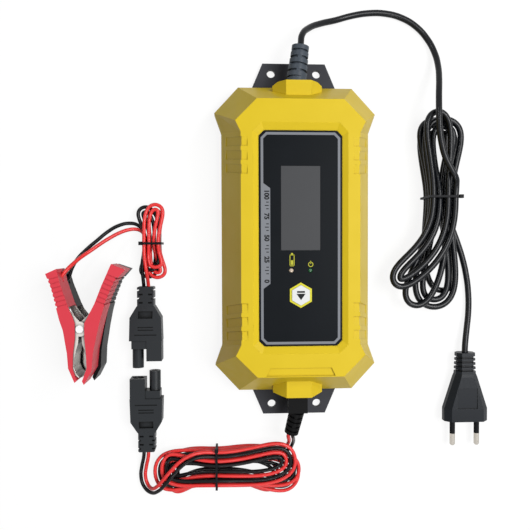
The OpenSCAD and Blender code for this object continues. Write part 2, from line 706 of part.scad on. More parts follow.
// Routes of the free stretches, middle of the cord or of the pair of wires
mains_feed = [[0.06, 114, 25], [2.87, 136.9, 25], [4.2, 145, 22], [10, 152.4, 15.4], [19.4, 158.2, 8.6],
  [31, 162.5, 4], [43, 166.5, 2.3], [56, 168.8, 2.3], [69, 168.8, 2.3], [81.5, 165.8, 2.3],
  [92.5, 159.5, 2.3], [101, 150.5, 2.3], [106, 139.5, 4.5], [107, 128, 9.5], [105.5, 116.5, 16],
  [103.5, 105, 21.5], [102.6, 93, 24.4], [102.8, 81, 24.8], [104.4, 69.5, 24.6], [107.6, 58.5, 24.4],
  [112.6, 49.4, 24], [116.2, 43.6, 22.2], [117.1, 40.2, 20.2], [117.025, 35.9, 19.05]];
mains_tail = [[117.025, 26.1, 3.6], [117.3, 21.6, 2.9], [120.4, 10, 2.3],
  [124.6, -1.5, 2.3], [128.6, -13.5, 2.3], [131.8, -27, 2.3], [133.5, -41, 2.4], [133.3, -55, 3.2],
  [131.4, -67.5, 5], [129.6, -78.5, 6.7], [129.3, -84, 6.85], [129.3, -90.6, 6.85]];
dc_feed = [[-55.1, -157.4, 2.65], [-50, -157.3, 1.9], [-43, -156.8, 1.35], [-35, -156.4, 1.35],
  [-27, -156.6, 1.35], [-19, -157.4, 1.35], [-11.5, -158.2, 1.35], [-5.4, -156.8, 1.9],
  [-3, -151.5, 6.5], [-3.4, -145.8, 14.5], [-4.34, -141.9, 19.8], [-3.91, -139.9, 20.3],
  [-2.5, -133.3, 22]];
dc_tail = [[-109.8, -149, 6], [-109.8, -155.4, 6], [-110.4, -161, 5], [-112, -168, 3.2],
  [-112.8, -175.5, 2.6], [-111, -181.5, 3.6], [-106.4, -184.2, 8], [-101.4, -181.6, 13],
  [-96, -175.6, 15.8], [-90, -168.6, 16.2], [-83.5, -162.2, 15.8], [-76, -158, 15],
  [-67.5, -156.8, 13.4], [-61.2, -157.4, 12.25]];
lead_in_red = [[-162.9, -36.1, 31], [-164.1, -31.9, 31], [-164.4, -29.1, 31], [-163.7, -26.5, 31],
  [-161.9, -23.7, 31], [-159.2, -20.2, 29.6], [-155.6, -16, 26], [-151.6, -11.9, 21.6],
  [-147, -8.2, 17.8], [-141, -3.6, 15.4], [-134.2, 1.2, 12.5], [-127, 5.4, 9], [-121, 7.6, 6.2],
  [-116, 7.9, 4.8], [-112.2, 6.4, 4.7], [-110.2, 3.6, 5.2], [lead_x, 0.6, 5.85]];
lead_in_black = [[-163.8, -38.6, 10.2], [-165.2, -34.4, 10.2], [-165.6, -31.6, 10.2],
  [-165, -29.2, 10.2], [-163.4, -26.3, 10.2], [-161.5, -20.7, 10.2], [-157.6, -13.6, 9.4],
  [-151.4, -6.8, 8.2], [-144.2, -0.4, 6.8], [-136, 6.6, 5], [-128.6, 10.8, 4], [-121.6, 12.4, 2.6],
  [-115.6, 11.2, 1.8], [-111.4, 6.6, 1.9], [lead_x, 0.6, 2.65]];
lead_out_red = [[lead_x, -5.4, 12.25], [-109.2, -11.5, 13.2], [-108.5, -17, 13.9], [-107.8, -22.5, 13.5],
  [-107.45, -27.6, 10], [-107.45, -31, 7], [-107.45, -33.8, 6], [-107.45, -40.3, 6]];
lead_out_black = [[lead_x, -5.4, 9.05], [-110.2, -11, 10.5], [-111, -17, 10.9],
  [-111.1, -23, 10.3], [-110.9, -28.6, 8], [-110.75, -34, 6], [-110.75, -40.3, 6]];

module mains_cord() {
  color(black) {
    translate([0, 113.5, cable_z]) rotate([90, 0, 0]) cylinder(d = mains_d - 2 * eps, h = 26);
    tube(mains_feed, mains_d, 8);
    tube(mains_tail, mains_d, 8);
  }
}
module dc_wires(side) {
  tube(moved(dc_feed, side * wire_pitch / 2), wire_d, 8);
  tube(moved(dc_tail, side * wire_pitch / 2), wire_d, 8);
}
module dc_wire_red() { color(red) dc_wires(-1); }
module dc_wire_black() { color(black) dc_wires(1); }
module lead_wire_red() {
  color(red) {
    tube(lead_in_red, wire_d, 8);
    tube(lead_out_red, wire_d, 8);
  }
}
module lead_wire_black() {
  color(black) {
    tube(lead_in_black, wire_d, 8);
    tube(lead_out_black, wire_d, 8);
  }
}
// Band tie round a hank's waist, between two sides, with its lock on top
module band(x0, x1, high) {
  translate([0, tie_w / 2, 0]) rotate([90, 0, 0]) linear_extrude(tie_w) difference() {
    translate([x0 - tie_t, 0]) square([x1 - x0 + 2 * tie_t, high + 2 * tie_t]);
    translate([x0, tie_t]) square([x1 - x0, high]);
  }
  translate([x1 - 1, -tie_w / 2 - 0.5, high + tie_t]) cube([2.8, tie_w + 1, 2.2]);
}
module cord_ties() {
  color(black) {
    translate([mains_at.x, mains_at.y, 0])
      band(-mains_w + 0.5 * mains_pitch - mains_d / 2 - 0.3, mains_w + mains_d / 2 + 0.3,
        3 * mains_rise + mains_d + 0.4);
    translate([dc_at.x, dc_at.y, 0]) rotate(90)
      band(-dc_w + 0.5 * dc_pitch - wire_d / 2 - 0.3, dc_w + wire_d / 2 + 0.3,
        3 * wire_rise + wire_d + 0.4);
  }
}
module lead_tie() {
  color(black)
  translate([lead_at.x, lead_at.y, 0]) mirror([1, 0, 0])
    band(-lead_w + 0.5 * lead_pitch - wire_d / 2 - 0.3, lead_w + wire_d / 2 + 0.3,
      3 * wire_rise + wire_d + 0.4);
}

// ---- plug ------------------------------------------------------------------

plug_at = [129.3, -136.6, plug_t / 2 + 0.001];
module plug_body() {
  neck = 15.4;
  color(black)
  translate([plug_at.x, plug_at.y, 0]) difference() {
    // bevelled block that narrows towards the cord
    translate([0, 0, plug_t / 2]) rotate([-90, 0, 0])
      loft([cut_rect(plug_w, plug_t, 4.4), cut_rect(plug_w, plug_t, 4.4), cut_rect(neck + 2, plug_t - 1, 3.8),
        cut_rect(neck, plug_t - 2, 3.4), cut_rect(neck - 1.4, plug_t - 3, 3)], [0, 9.4, 33.4, 35.6, 51.4]);
    for (k = [0 : 3]) difference() {
      translate([-neck, 37.6 + 3.2 * k, -1]) cube([2 * neck, 1.5, plug_t + 2]);
      translate([0, 36, plug_t / 2]) rotate([-90, 0, 0]) linear_extrude(20)
        polygon(cut_rect(neck - 3.6, plug_t - 5, 2.4));
    }
    translate([-7.5, 10, plug_t - 0.6]) cube([15, 15, 2]);
    for (s = [-1, 1])
      translate([s * pin_dx / 2, -1, plug_t / 2]) rotate([-90, 0, 0]) cylinder(d = pin_d - 0.4, h = 11);
    translate([0, 46, plug_t / 2]) rotate([-90, 0, 0]) cylinder(d = mains_d, h = 8);
  }
}
sleeve_l = 10;
module plug_sleeves() {
  color("#26272B")
  for (s = [-1, 1]) translate([plug_at.x + s * pin_dx / 2, plug_at.y - seat, plug_at.z])
    rotate([90, 0, 0]) difference() {
      cylinder(d = pin_d, h = sleeve_l);
      translate([0, 0, -1]) cylinder(d = pin_d - 0.8, h = sleeve_l + 2);
    }
}
module plug_pins() {
  color(steel)
  for (s = [-1, 1]) translate([plug_at.x + s * pin_dx / 2, plug_at.y, plug_at.z]) {
    rotate([-90, 0, 0]) cylinder(d = pin_d - 0.84, h = 9.8);
    rotate([90, 0, 0]) cylinder(d = pin_d - 0.84, h = pin_l - 1);
    translate([0, -sleeve_l - 2 * seat, 0]) rotate([90, 0, 0])
      cylinder(d = pin_d, h = pin_l - sleeve_l - 1 - 2 * seat);
    translate([0, -pin_l + 1, 0]) rotate([90, 0, 0]) cylinder(d1 = pin_d, d2 = pin_d - 1.6, h = 1);
  }
}

// ---- lead connectors ---------------------------------------------------------

connector_at = [-109.1, -115.7, connector_t / 2];
block_l = 5.9;                             // root of both prongs, past the shoulder
socket_depth = tube_l - block_l + 0.5;
body_back = 17;
body_half = 11.8;
boot_back = 39.4;
closing_gap = shroud_l + block_l + 0.2;
contact_d = 3.5;
contact_l = socket_depth + 4;
// Prongs point along +Y, the hollow one to the left; shoulder at y = 0
module connector(holes_in) {
  plan = [[body_half, 0], [body_half - 0.5, -body_back], [6.8, -body_back - 7.6], [6, -body_back - 8.6],
    [6, -boot_back + 0.6], [5.2, -boot_back]];
  difference() {
    union() {
      intersection() {
        translate([0, 0, -connector_t / 2]) linear_extrude(connector_t)
          polygon(concat(plan, [for (i = [len(plan) - 1 : -1 : 0]) [-plan[i].x, plan[i].y]]));
        // the boot is thinner than the body
        translate([-20, 0, 0]) rotate([90, 0, 90]) linear_extrude(40)
          polygon([[0, -connector_t / 2], [0, connector_t / 2], [-body_back, connector_t / 2],
            [-body_back - 8, 4.4], [-boot_back, 4.4], [-boot_back, -connector_t / 2]]);
      }
      translate([-prong_dx / 2 - shroud_w / 2, -eps, -connector_t / 2])
        cube([shroud_w, shroud_l + eps, connector_t]);
      translate([-prong_dx / 2 - 1, -eps, -connector_t / 2 + 0.5])
        cube([prong_dx + tube_d / 2 + 1, block_l + eps, connector_t - 1]);
      translate([prong_dx / 2, -1, 0]) rotate([-90, 0, 0]) cylinder(d = tube_d, h = tube_l + 1);
    }
    translate([-prong_dx / 2, shroud_l - socket_depth, 0]) rotate([-90, 0, 0])
      cylinder(d = tube_d + 2 * prong_gap, h = socket_depth + 1);
    translate([prong_dx / 2, tube_l - 16, 0]) rotate([-90, 0, 0]) cylinder(d = contact_d + 1, h = 20);
    translate([-prong_dx / 2, shroud_l - socket_depth - 6, 0]) rotate([-90, 0, 0])
      cylinder(d = contact_d, h = 8);
    for (q = [[8, -4.4], [5.5, -8], [5.5, -10]])
      translate([-q.x, q.y - 0.4, connector_t / 2 - 0.5]) cube([2 * q.x, 0.8, 2]);
    translate([-5.2, -21.6, 3.4]) cube([10.4, 5.2, 4]);
    for (k = [0 : 3], s = [-1, 1])
      translate([s * (3.4 + 2 * (k % 2)) - 1.4, -body_back - 11.4 - 3 * k, -connector_t])
        cube([2.8, 1.2, 2 * connector_t]);
    for (s = [-1, 1]) translate([holes_in + s * wire_pitch / 2, -boot_back - 1, 0]) rotate([-90, 0, 0])
      cylinder(d = wire_d, h = 7.4);
  }
}
// Pin in the hollow prong and socket in the round one
module contacts() {
  translate([-prong_dx / 2, shroud_l - socket_depth - 6 + seat, 0]) rotate([-90, 0, 0]) {
    cylinder(d = contact_d - 0.02, h = contact_l);
    translate([0, 0, contact_l]) cylinder(d1 = contact_d - 0.02, d2 = contact_d - 1.6, h = 1);
  }
  translate([prong_dx / 2, tube_l - 16 + seat, 0]) rotate([-90, 0, 0]) difference() {
    cylinder(d = contact_d + 0.96, h = 15.4);
    translate([0, 0, 1]) cylinder(d = contact_d + 0.06, h = 20);
  }
}
module charger_side() { translate(connector_at) children(); }
module clamp_side() {
  translate(connector_at + [0, closing_gap + mate_travel, 0]) rotate(180) children();
}
module charger_connector() { color(dark) charger_side() connector(-0.7); }
module charger_contacts() { color(steel) charger_side() contacts(); }
module clamp_connector() { color(dark) clamp_side() connector(0); }
module clamp_contacts() { color(steel) clamp_side() contacts(); }

// ---- clamps -----------------------------------------------------------------

// Places of the two rivets; the black clamp is turned a little
red_at = [-148.9, -60.5, clamp_h * 1.5 + stack_gap];
black_at = [-148.5, -62.2, clamp_h / 2 + 0.001];
black_turn = 3;
skin = 0.8;
ear_r = 5;
half_h = clamp_h / 2;
ear_z = half_h - skin - 0.1;
// Outlines of the two grips seen from above, with the rivet at the origin
fixed_plan = [[-22.1, 37.4], [-18.5, 28], [-13.3, 6.4], [-10.9, -0.8], [-8.4, -16.4], [-7.7, -26.4],
  [-3.6, -36.2], [-2.2, -34.9], [-4.8, -26.4], [-4.4, -16.4], [-3.1, -6], [-3.1, 4], [-4.4, 8],
  [-8, 16.9], [-12.7, 31.3], [-14.8, 40.7]];
moving_plan = [[31, 39.9], [21.4, 43.8], [15, 29.5], [10, 16.8], [5.8, 8.8], [3.3, 4], [3.3, -6],
  [4.2, -16.4], [4.6, -26.4], [1.4, -35.2], [2.6, -37.6], [7.7, -28.7], [8.9, -16.4], [12.2, -0.9],
  [14.7, 9.2], [17.8, 19.3], [23.4, 32]];
// Room for the steel, open towards the other jaw
fixed_room = [[8, -33.2], [8, 15], [-13.35, 15], [-11.25, 6.8], [-8.9, -0.6], [-6.4, -16.3],
  [-5.7, -26], [-2.7, -33.2]];
moving_room = [[-8, -33.2], [2.2, -33.2], [5.6, -27.3], [6.9, -16.1], [10.2, -0.5], [12.75, 9.7],
  [14.35, 15], [-8, 15]];
// Steel ears above and below, from the grip's wall to the jaw's face
fixed_ear = [[-12.9, 14.6], [-11, 6.8], [-8.7, -0.6], [-6.2, -16.3], [-5.5, -25.8], [-3.3, -31],
  [-1, -32.9], [-0.3, -32.9], [-2.7, -30.2], [-4.1, -26], [-3.9, -20], [-2.7, -14.5],
  [-1.2, -10], [-0.9, -6], [0, 4.9], [-3.6, 9], [-7.2, 14.4]];
moving_ear = [[9.2, 14.4], [5, 9], [0.6, 4.9], [0.9, -6], [1.2, -10], [2.7, -14.5], [3.9, -20],
  [4.1, -26], [2.7, -30.2], [0.3, -32.9], [1, -32.9], [3.3, -31], [5.4, -26.9], [6.7, -16.1],
  [10, -0.4], [12.5, 9.7], [13.9, 14.6]];
jaw_face = [[-0.3, -32.9], [-2.7, -30.2], [-4.1, -26], [-3.9, -20], [-2.7, -14.5], [-1.2, -10],
  [-0.9, -6]];

module slab(outline, z0, z1) {
  translate([0, 0, z0]) linear_extrude(z1 - z0) polygon(outline);
}
// Grooves across a handle's outer side, from one point to another
module grip_grooves(from, to, n) {
  turn = atan2(to.y - from.y, to.x - from.x);
  for (k = [0 : n - 1]) translate(from + (to - from) * k / (n - 1)) rotate(turn) {
    translate([-0.7, -0.7, -half_h - 1]) cube([1.4, 1.4, clamp_h + 2]);
    for (z = [-half_h - 1, half_h - 0.3]) translate([-0.4, -13, z]) cube([0.8, 26, 1.3]);
  }
}
module fixed_grip() {
  difference() {
    slab(fixed_plan, -half_h, half_h);
    slab(fixed_room, -half_h + skin, half_h - skin);
    slab([[-8, 14.6], [-10.6, 20.5], [-14.8, 33.4], [-16.4, 37.6], [-19.6, 36], [-16.6, 28], [-13.4, 14.6]],
      -half_h + 2, half_h - 2);
    // side outlet for the wire
    translate([-16, 31.6, -1.7]) cube([6, 7, 3.4]);
    grip_grooves([-20.6, 33.4], [-15.4, 15], 7);
  }
}
module moving_grip() {
  difference() {
    slab(moving_plan, -half_h, half_h);
    slab(moving_room, -half_h + skin, half_h - skin);
    slab([[11.6, 14.6], [16.8, 29], [22.4, 41], [26, 40], [21.4, 32.6], [15.8, 19.4], [14.2, 14.6]],
      -half_h + 2, half_h - 2);
    grip_grooves([24.8, 34.2], [17, 16.6], 7);
  }
}
// Two ears and the bowed face between them
module jaw(ear, face, z) {
  n = len(face);
  away = sign(ear[0].x) * steel_t;
  for (s = [-1, 1]) difference() {
    union() {
      slab(ear, s * z - steel_t / 2, s * z + steel_t / 2);
      translate([0, 0, s * z - steel_t / 2]) cylinder(r = ear_r, h = steel_t);
    }
    cylinder(d = rivet_d + 2 * rivet_gap, h = 3 * clamp_h, center = true);
  }
  slab(concat(face, [for (i = [n - 1 : -1 : 0]) face[i] + [away, i == 0 ? 1.1 : 0]]), -z, z);
}
module fixed_jaw() {
  jaw(fixed_ear, jaw_face, ear_z - steel_t / 2);
  // tab that the wire is crimped to
  translate([-12.1, 10.8, -ear_z + 0.3]) cube([1.2, 3.4, ear_z - 1.3]);
  slab([[-12.1, 10.8], [-10.9, 10.8], [-9.8, 14.6], [-12.7, 24], [-15.1, 24], [-13, 14.4]], -3, -1);
}
module moving_jaw() {
  jaw(moving_ear, [for (p = jaw_face) [-p.x, p.y]], ear_z - 1.5 * steel_t - 0.15);
}
module rivet() {
  cylinder(d = rivet_d, h = 2 * ear_z + 0.1, center = true);
  for (m = [0, 1]) mirror([0, 0, m]) translate([0, 0, ear_z + 0.05 - eps])
    cylinder(d1 = rivet_head_d, d2 = rivet_head_d - 0.8, h = half_h - ear_z - 0.05);
}
// Torsion spring round the rivet with a leg into each arm
module spring() {
  r = rivet_d / 2 + 0.4 + spring_wire_d / 2;
  step = spring_wire_d + 0.45;
  turns = spring_coils + 0.35;
  n = round(8 * turns);
  coil = [for (i = [0 : n]) let (a = 207 + 360 * turns * i / n)
    [r * cos(a), r * sin(a), turns * step * (i / n - 0.5)]];
  tube(concat([[-9.9, 12.5, coil[0].z]], coil, [[9.9, 12.5, coil[n].z]]), spring_wire_d, 6);
}
module red_fixed_grip() { color(red) translate(red_at) fixed_grip(); }
module red_fixed_jaw() { color(steel) translate(red_at) fixed_jaw(); }
module red_moving_grip() { color(red) translate(red_at) moving_grip(); }
module red_moving_jaw() { color(steel) translate(red_at) moving_jaw(); }
module red_rivet() { color(steel) translate(red_at) rivet(); }
module red_spring() { color(steel) translate(red_at) spring(); }
module black_fixed_grip() { color(black) translate(black_at) rotate(black_turn) fixed_grip(); }
module black_fixed_jaw() { color(steel) translate(black_at) rotate(black_turn) fixed_jaw(); }
module black_moving_grip() { color(black) translate(black_at) rotate(black_turn) moving_grip(); }
module black_moving_jaw() { color(steel) translate(black_at) rotate(black_turn) moving_jaw(); }
module black_rivet() { color(steel) translate(black_at) rotate(black_turn) rivet(); }
module black_spring() { color(steel) translate(black_at) rotate(black_turn) spring(); }

back_cover();
front_shell();
seal_gasket();
case_screws();
display_panel();
panel_border();
lcd_window();
lcd_module();
display_board();
display_screws();
button_ring();
mode_button();
button_mark();
switch_plunger();
tact_switch();
status_light();
power_light();
ribbon_cable();
main_board();
board_screws();
transformer_core();
transformer_winding();
input_capacitor();
output_capacitors();
choke();
heatsink();
power_devices();
mains_strain_relief();
dc_strain_relief();
mains_cord();
mains_hank();
cord_ties();
plug_body();
plug_sleeves();
plug_pins();
dc_wire_red();
dc_wire_black();
dc_hank_red();
dc_hank_black();
charger_connector();
charger_contacts();
clamp_connector();
clamp_contacts();
lead_wire_red();
lead_wire_black();
lead_hank_red();
lead_hank_black();
lead_tie();
red_fixed_grip();
red_fixed_jaw();
red_moving_grip();
red_moving_jaw();
red_rivet();
red_spring();
black_fixed_grip();
black_fixed_jaw();
black_moving_grip();
black_moving_jaw();
black_rivet();
black_spring();
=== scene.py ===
from math import cos, pi, radians, sin

import bpy
import bmesh
from mathutils import Matrix, Vector


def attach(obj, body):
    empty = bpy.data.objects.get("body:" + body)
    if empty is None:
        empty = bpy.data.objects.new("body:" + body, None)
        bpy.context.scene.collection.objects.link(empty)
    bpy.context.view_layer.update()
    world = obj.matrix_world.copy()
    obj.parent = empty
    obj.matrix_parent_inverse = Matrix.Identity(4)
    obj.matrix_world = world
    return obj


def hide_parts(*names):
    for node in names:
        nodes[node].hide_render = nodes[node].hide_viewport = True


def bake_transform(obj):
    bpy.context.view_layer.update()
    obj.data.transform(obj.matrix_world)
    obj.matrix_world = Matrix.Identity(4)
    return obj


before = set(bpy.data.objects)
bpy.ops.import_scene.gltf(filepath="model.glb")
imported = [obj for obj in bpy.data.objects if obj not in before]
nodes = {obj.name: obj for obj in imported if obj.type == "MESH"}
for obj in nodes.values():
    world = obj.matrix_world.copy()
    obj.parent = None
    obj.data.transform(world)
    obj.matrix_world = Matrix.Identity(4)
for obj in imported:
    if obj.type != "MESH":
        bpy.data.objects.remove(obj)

scene = bpy.context.scene
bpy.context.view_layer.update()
mm = 0.001


def mmPoint(x, y, z):
    return Vector((x, y, z)) * mm


# The camera looks down at the set as it lies on its back
cameraView = {
    "place": (-46.60, -7.43, 450.0),  # mm
    "tilt": (-1.4466, -3.2059, -0.2518),  # degrees about X, Y and the line of sight
    "lens": 40.79,  # mm on a sensor 36 mm wide
}
bpy.ops.object.camera_add()
camera = bpy.context.object
tiltX, tiltY, roll = (radians(a) for a in cameraView["tilt"])
camera.matrix_world = (
    Matrix.Translation(mmPoint(*cameraView["place"]))
    @ Matrix.Rotation(tiltX, 4, "X")
    @ Matrix.Rotation(tiltY, 4, "Y")
    @ Matrix.Rotation(roll, 4, "Z")
)
camera.data.sensor_width = 36
camera.data.lens = cameraView["lens"]
camera.data.clip_start = 0.01
scene.camera = camera
scene.view_settings.view_transform = "Standard"
print("camera placed")


# Finishes

# Linear colour from an sRGB code
def colour(code):
    parts = [int(code[i:i + 2], 16) / 255 for i in (1, 3, 5)]
    return [p / 12.92 if p <= 0.04045 else ((p + 0.055) / 1.055) ** 2.4 for p in parts] + [1.0]


def addNode(material, kind, settings=None, links=None):
    node = material.node_tree.nodes.new("ShaderNode" + kind)
    for name, value in (settings or {}).items():
        if isinstance(name, str) and hasattr(node, name):
            setattr(node, name, value)
        else:
            node.inputs[name].default_value = value
    for name, source in (links or {}).items():
        material.node_tree.links.new(source, node.inputs[name])
    return node


def newMaterial(name):
    material = bpy.data.materials.new(name)
    material.use_nodes = True
    material.node_tree.nodes.clear()
    return material


# A finish of two close tones in patches, with a fine grain. Grain, its depth, blotch, scratch
# and the reach of the painted shade are in mm. Painted shade darkens the colour in crevices,
# and glint is how strongly a plastic mirrors.
def makeFinish(name, main, shade, grain, grainDepth, rough, roughSpread=0.06, blotch=18.0,
               glint=0.25, coat=0.0, metallic=0.0, scratch=0.0, paintedShadeReach=0.0,
               paintedShadeTone=0.15):
    material = newMaterial(name)
    place = addNode(material, "TexCoord")
    patches = addNode(material, "TexNoise", {"Scale": 1000 / blotch, "Detail": 3.0},
                      {"Vector": place.outputs["Object"]})
    tone = addNode(material, "Mix", {"data_type": "RGBA", 6: colour(main), 7: colour(shade)},
                   {0: patches.outputs["Fac"]})
    fine = addNode(material, "TexNoise", {"Scale": 1000 / grain, "Detail": 2.0},
                   {"Vector": place.outputs["Object"]})
    gloss = addNode(material, "MapRange", {3: rough - roughSpread, 4: rough + roughSpread},
                    {0: patches.outputs["Fac"]})
    height = fine.outputs["Fac"]
    if scratch:
        stretch = addNode(material, "Mapping", {"Scale": (1, 1, 0.04)},
                          {"Vector": place.outputs["Object"]})
        lines = addNode(material, "TexNoise", {"Scale": 1000 / scratch, "Detail": 1.0},
                        {"Vector": stretch.outputs["Vector"]})
        both = addNode(material, "Math", {"operation": "ADD"},
                       {0: height, 1: lines.outputs["Fac"]})
        height = both.outputs[0]
    bump = addNode(material, "Bump", {"Strength": 0.6, "Distance": grainDepth * mm},
                   {"Height": height})
    tint = tone.outputs[2]
    # Painted shade: ambient occlusion darkens the base colour in crevices, hollows and corners
    if paintedShadeReach:
        occlusion = addNode(material, "AmbientOcclusion", {"Distance": paintedShadeReach * mm})
        paintedShadeMask = addNode(material, "MapRange", {1: 0.55, 2: 0.95, 3: paintedShadeTone, 4: 1.0},
                       {0: occlusion.outputs["AO"]})
        dark = addNode(material, "Mix", {"data_type": "RGBA", 6: (0, 0, 0, 1)},
                       {0: paintedShadeMask.outputs[0], 7: tint})
        tint = dark.outputs[2]
    shader = addNode(material, "BsdfPrincipled",
                     {"Metallic": metallic, "Coat Weight": coat, "Coat Roughness": 0.1,
                      "Specular IOR Level": 0.5 if metallic else glint},
                     {"Base Color": tint, "Roughness": gloss.outputs[0],
                      "Normal": bump.outputs["Normal"]})
    addNode(material, "OutputMaterial", {}, {"Surface": shader.outputs[0]})
    return material


# Moulded ABS: deep yellow, softly shining, with a fine eggshell grain, and painted shade
# round its lip, pocket corners and grooves
yellowAbs = makeFinish("yellow_abs", "#D6BA25", "#CFB320", 0.5, 0.01, 0.42, glint=0.12,
                       paintedShadeReach=1.2, paintedShadeTone=0.82)
# The same plastic in dark grey, with a coarser grain
greyAbs = makeFinish("dark_grey_abs", "#3B3C42", "#36373C", 0.7, 0.02, 0.5, glint=0.1)
# Smooth printed front film: near black, faint blue, hardly mirrors
panelBlack = makeFinish("panel_film", "#14171A", "#171A1E", 2.5, 0.003, 0.3, 0.04, glint=0.03)
# Grey ink on the film
printGrey = makeFinish("printed_grey", "#7F8288", "#7A7D83", 0.4, 0.003, 0.4, glint=0.05)
# Unlit display behind a dull film
windowGrey = makeFinish("window_film", "#4A4B4D", "#48494B", 3.0, 0.002, 0.3, 0.03, glint=0.04)
# Display glass, smooth and hard
lcdGlass = makeFinish("lcd_glass", "#6F7470", "#676C69", 1.0, 0.002, 0.1, 0.03)
# Green lacquer on the boards, even and a little shiny
circuitGreen = makeFinish("solder_mask", "#245E36", "#1E5230", 1.2, 0.03, 0.3)
# Pale key top, slightly worn
buttonWhite = makeFinish("white_abs", "#DCDDDC", "#D2D3D3", 0.6, 0.008, 0.4, glint=0.2)
# Moulded ABS round the key, greener than the case
ringYellow = makeFinish("ring_yellow_abs", "#D3CC2E", "#C9C12A", 0.6, 0.008, 0.4, glint=0.2)
# Black ink, flat and dull
markBlack = makeFinish("printed_black", "#141517", "#17181A", 0.4, 0.003, 0.45, glint=0.1)
# Ink of the small signs beside the lights
markLime = makeFinish("printed_lime", "#B9B83A", "#AFAE36", 0.4, 0.003, 0.45, glint=0.1)
# Moulded black ABS of the small pieces
partBlack = makeFinish("black_abs", "#141518", "#101114", 0.7, 0.02, 0.45, glint=0.08)
# Clear epoxy of the two lights, wet looking
lightPale = makeFinish("pale_led_epoxy", "#CDBBA8", "#C4B29E", 0.8, 0.004, 0.12, 0.03, coat=0.5)
lightGreen = makeFinish("green_led_epoxy", "#1E5C33", "#1A522D", 0.8, 0.004, 0.12, 0.03, coat=0.5)
# Ribbon cable, uneven on the scale of its wire spacing of 1.27 mm
cablePale = makeFinish("ribbon_pvc", "#B9BAB6", "#A9AAA6", 1.27, 0.1, 0.5)
# Pressed ferrite, stony and dull
ferriteGrey = makeFinish("ferrite", "#3C3D40", "#34353A", 0.3, 0.03, 0.65)
# Lacquered copper wire, warm and uneven in tone
copperWire = makeFinish("copper_winding", "#B0683A", "#9A5830", 0.5, 0.05, 0.35, metallic=0.8)
# Shrunk sleeve on the capacitors, satin
canBlue = makeFinish("capacitor_sleeve", "#2B3A63", "#253256", 1.5, 0.01, 0.3)
# Extruded aluminium, with fine lines along it
heatsinkAlu = makeFinish("extruded_aluminium", "#9C9EA2", "#8E9094", 0.3, 0.02, 0.38,
                         metallic=1.0, scratch=0.2)
# Zinc plated steel, bright and faintly speckled
screwSteel = makeFinish("zinc_plated_steel", "#B4B6B8", "#A6A8AA", 0.4, 0.01, 0.34, metallic=1.0)
# Moulded rubber, matt
gasketRubber = makeFinish("gasket_rubber", "#2A2B2D", "#242527", 0.5, 0.03, 0.7)
# Soft PVC of the strain reliefs: dull, slightly bluish grey, and black
reliefGrey = makeFinish("grey_pvc_relief", "#454C55", "#3F464E", 0.6, 0.02, 0.42, glint=0.15)
reliefBlack = makeFinish("black_pvc_relief", "#09090A", "#0D0D0E", 0.6, 0.02, 0.42, glint=0.07)
# Cord sheath: black with a waxy shine in long streaks
cordBlack = makeFinish("black_pvc_sheath", "#04060A", "#070A10", 0.9, 0.015, 0.27, 0.06, 9.0,
                       glint=0.24)
# PVC wire covers, red and black, with a soft shine
wireRed = makeFinish("red_pvc_wire", "#E33231", "#D92C2C", 0.7, 0.012, 0.33, 0.05, 12.0, glint=0.4)
wireBlack = makeFinish("black_pvc_wire", "#08070A", "#060508", 0.7, 0.01, 0.26, 0.05, 12.0,
                       glint=0.2)
# Moulded PVC of the plug, satin, with painted shade in its creases
plugBlack = makeFinish("plug_pvc", "#12161B", "#161A20", 0.7, 0.015, 0.4, glint=0.15,
                       paintedShadeReach=1.2)
# Nickel plated brass pins, smooth and warm
pinMetal = makeFinish("nickel_plated_brass", "#C9C4BC", "#B8B2A8", 0.5, 0.004, 0.2, metallic=1.0)
# Moulded PVC of the connectors, dull, with painted shade in its hollows
connectorGrey = makeFinish("connector_pvc", "#2A2D30", "#26292C", 0.6, 0.02, 0.42, glint=0.15,
                           paintedShadeReach=4.5, paintedShadeTone=0.1)
# Tinned brass, softer in its shine than nickel
contactMetal = makeFinish("tinned_brass", "#C2BFB6", "#B2AEA4", 0.4, 0.006, 0.3, metallic=1.0)
# Clamp grips: rosy red and charcoal, satin, with painted shade in their crevices
clampRed = makeFinish("red_clamp_pvc", "#DC4652", "#D3414D", 0.7, 0.01, 0.38, 0.05, 14.0,
                      glint=0.06, paintedShadeReach=0.8, paintedShadeTone=0.6)
clampBlack = makeFinish("black_clamp_pvc", "#111215", "#0E0F11", 0.7, 0.01, 0.42, 0.05, 14.0,
                        glint=0.06, paintedShadeReach=1.0)
# Pressed and nickel plated steel, with painted shade in its hollows
jawSteel = makeFinish("nickel_plated_steel", "#DCD8D2", "#D3CEC7", 0.5, 0.002, 0.36, 0.04, 9.0,
                      metallic=0.85, paintedShadeReach=7.0, paintedShadeTone=0.22)
# Brightly plated rivet heads
rivetZinc = makeFinish("bright_zinc", "#F4F4F4", "#E8E8E8", 0.5, 0.002, 0.38, 0.03, 9.0,
                       metallic=0.5)
print("finishes made")

